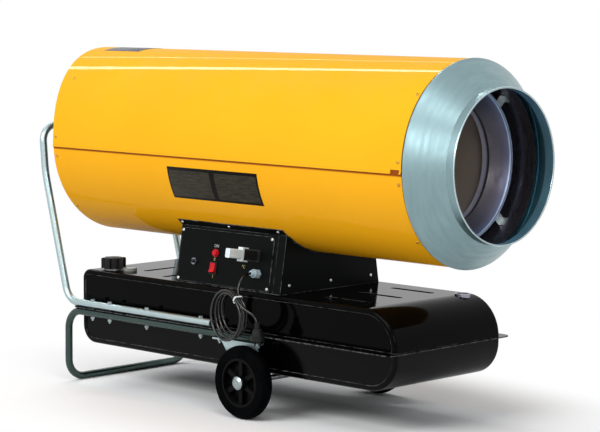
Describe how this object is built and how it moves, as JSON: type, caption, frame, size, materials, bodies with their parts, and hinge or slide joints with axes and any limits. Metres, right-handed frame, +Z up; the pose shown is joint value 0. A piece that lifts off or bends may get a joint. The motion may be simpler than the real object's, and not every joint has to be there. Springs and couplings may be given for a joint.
{
  "type": "forced air heater",
  "caption": "Direct-fired forced air heater: yellow barrel with a galvanised outlet cone, black fuel tank, side control panel, tubular handle and stand, two wheels.",
  "frame": {"origin": "on the floor under the middle of the heater's length and width", "axes": "+X along the barrel's axis towards the outlet, -Y towards the control panel, +Z up"},
  "size_m": [1.606, 0.6089, 0.9985],
  "materials": {
    "yellow_upper": "gloss paint, warm yellow",
    "yellow_lower": "gloss paint, deeper orange yellow",
    "zinc": "zinc-plated, satin",
    "screw": "bright zinc screw heads",
    "steel": "plain sheet steel",
    "heat_steel": "stainless sheet, heat-tinted brown and violet",
    "tank_black": "gloss black enamel",
    "satin_black": "satin black paint",
    "motor_grey": "grey enamel",
    "fan_grey": "cast aluminium, mill finish",
    "cast": "die-cast zinc alloy",
    "copper": "copper pipe, slightly dulled",
    "brass": "turned brass",
    "ceramic": "white glazed ceramic",
    "chrome": "bright plated",
    "red_plastic": "translucent red, gloss",
    "black_plastic": "matt black moulding",
    "white_plastic": "white moulding",
    "grey_plastic": "pale grey moulding",
    "lens": "clear polycarbonate",
    "tyre_rubber": "solid black rubber",
    "rubber": "black rubber",
    "cord_sheath": "black flexible cord sheath",
    "orange_float": "nitrile foam float"
  },
  "bodies": {
    "heater": {"upper_shell": "yellow_upper", "lower_shell": "yellow_lower", "shell_screws": "screw", "outlet_cone": "zinc", "heat_shield": "zinc", "combustion_chamber": "heat_steel", "chamber_brackets": "zinc", "flame_disc": "heat_steel", "blast_tube": "steel", "nozzle_holder": "brass", "electrodes": "ceramic", "photocell": "black_plastic", "fan_ring": "steel", "fan_motor": "motor_grey", "motor_bracket": "steel", "fuel_pump": "cast", "fuel_lines": "copper", "rear_guard": "satin_black", "ignition_transformer": "black_plastic", "housing": "satin_black", "housing_screws": "screw", "control_panel": "satin_black", "panel_screws": "screw", "indicator_lamp": "red_plastic", "switch_frame": "black_plastic", "reset_nut": "chrome", "thermostat_socket": "black_plastic", "cable_gland": "grey_plastic", "tank_upper": "tank_black", "tank_lower": "tank_black", "filler_neck": "steel", "strainer": "steel", "gauge_body": "black_plastic", "gauge_lens": "lens", "tank_port": "chrome", "suction_pipe": "copper", "handle_frame": "zinc", "stand_frame": "zinc", "frame_bolts": "screw", "axle_brackets": "zinc", "axle": "steel", "hub_caps": "chrome", "cord_lead": "cord_sheath", "cord_coil": "cord_sheath", "cord_tail": "cord_sheath", "mains_plug": "black_plastic", "cable_tie": "white_plastic"},
    "right_wheel": {"right_tyre": "tyre_rubber", "right_hub": "black_plastic"},
    "left_wheel": {"left_tyre": "tyre_rubber", "left_hub": "black_plastic"},
    "fan_rotor": {"fan": "fan_grey", "motor_shaft": "steel"},
    "cap_seal": {"cap_gasket": "rubber"},
    "filler_cap": {"fuel_cap": "black_plastic"},
    "switch_rocker": {"rocker": "red_plastic"},
    "reset": {"reset_button": "black_plastic"},
    "thermostat_link": {"thermostat_plug": "white_plastic"},
    "float": {"float_arm": "orange_float"},
    "pointer": {"gauge_pointer": "red_plastic"}
  },
  "joints": [
    {"name": "right_wheel_spin", "type": "hinge", "parent": "heater", "child": "right_wheel", "pos_m": [0.113, -0.273, 0.1018], "axis": [0, 1, 0], "continuous": true},
    {"name": "left_wheel_spin", "type": "hinge", "parent": "heater", "child": "left_wheel", "pos_m": [0.113, 0.273, 0.1018], "axis": [0, 1, 0], "continuous": true},
    {"name": "fan_spin", "type": "hinge", "parent": "heater", "child": "fan_rotor", "pos_m": [-0.42, 0, 0.72], "axis": [1, 0, 0], "continuous": true},
    {"name": "cap_lift", "type": "slide", "parent": "heater", "child": "cap_seal", "axis": [0, 0, 1], "range_m": [0, 0.08]},
    {"name": "cap_turn", "type": "hinge", "parent": "cap_seal", "child": "filler_cap", "pos_m": [-0.567, -0.152, 0.36], "axis": [0, 0, 1], "range_deg": [0, 270]},
    {"name": "rocker_tilt", "type": "hinge", "parent": "heater", "child": "switch_rocker", "pos_m": [-0.089, -0.1929, 0.39164], "axis": [1, 0, 0], "range_deg": [0, 18]},
    {"name": "reset_press", "type": "slide", "parent": "heater", "child": "reset", "axis": [0, 0.9869, -0.1614], "range_m": [0, 0.003], "stiffness_N_per_m": 600},
    {"name": "thermostat_pull", "type": "slide", "parent": "heater", "child": "thermostat_link", "axis": [0, -0.9869, 0.1614], "range_m": [0, 0.035]},
    {"name": "float_swing", "type": "hinge", "parent": "heater", "child": "float", "pos_m": [-0.502, -0.143, 0.23], "axis": [0, -1, 0], "range_deg": [-35, 35]},
    {"name": "pointer_turn", "type": "hinge", "parent": "heater", "child": "pointer", "pos_m": [-0.502, -0.143, 0.345], "axis": [0, 0, 1], "range_deg": [-70, 70]}
  ],
  "couplings": [
    {"joint": "pointer_turn", "follows": "float_swing", "ratio": 1.5}
  ]
}
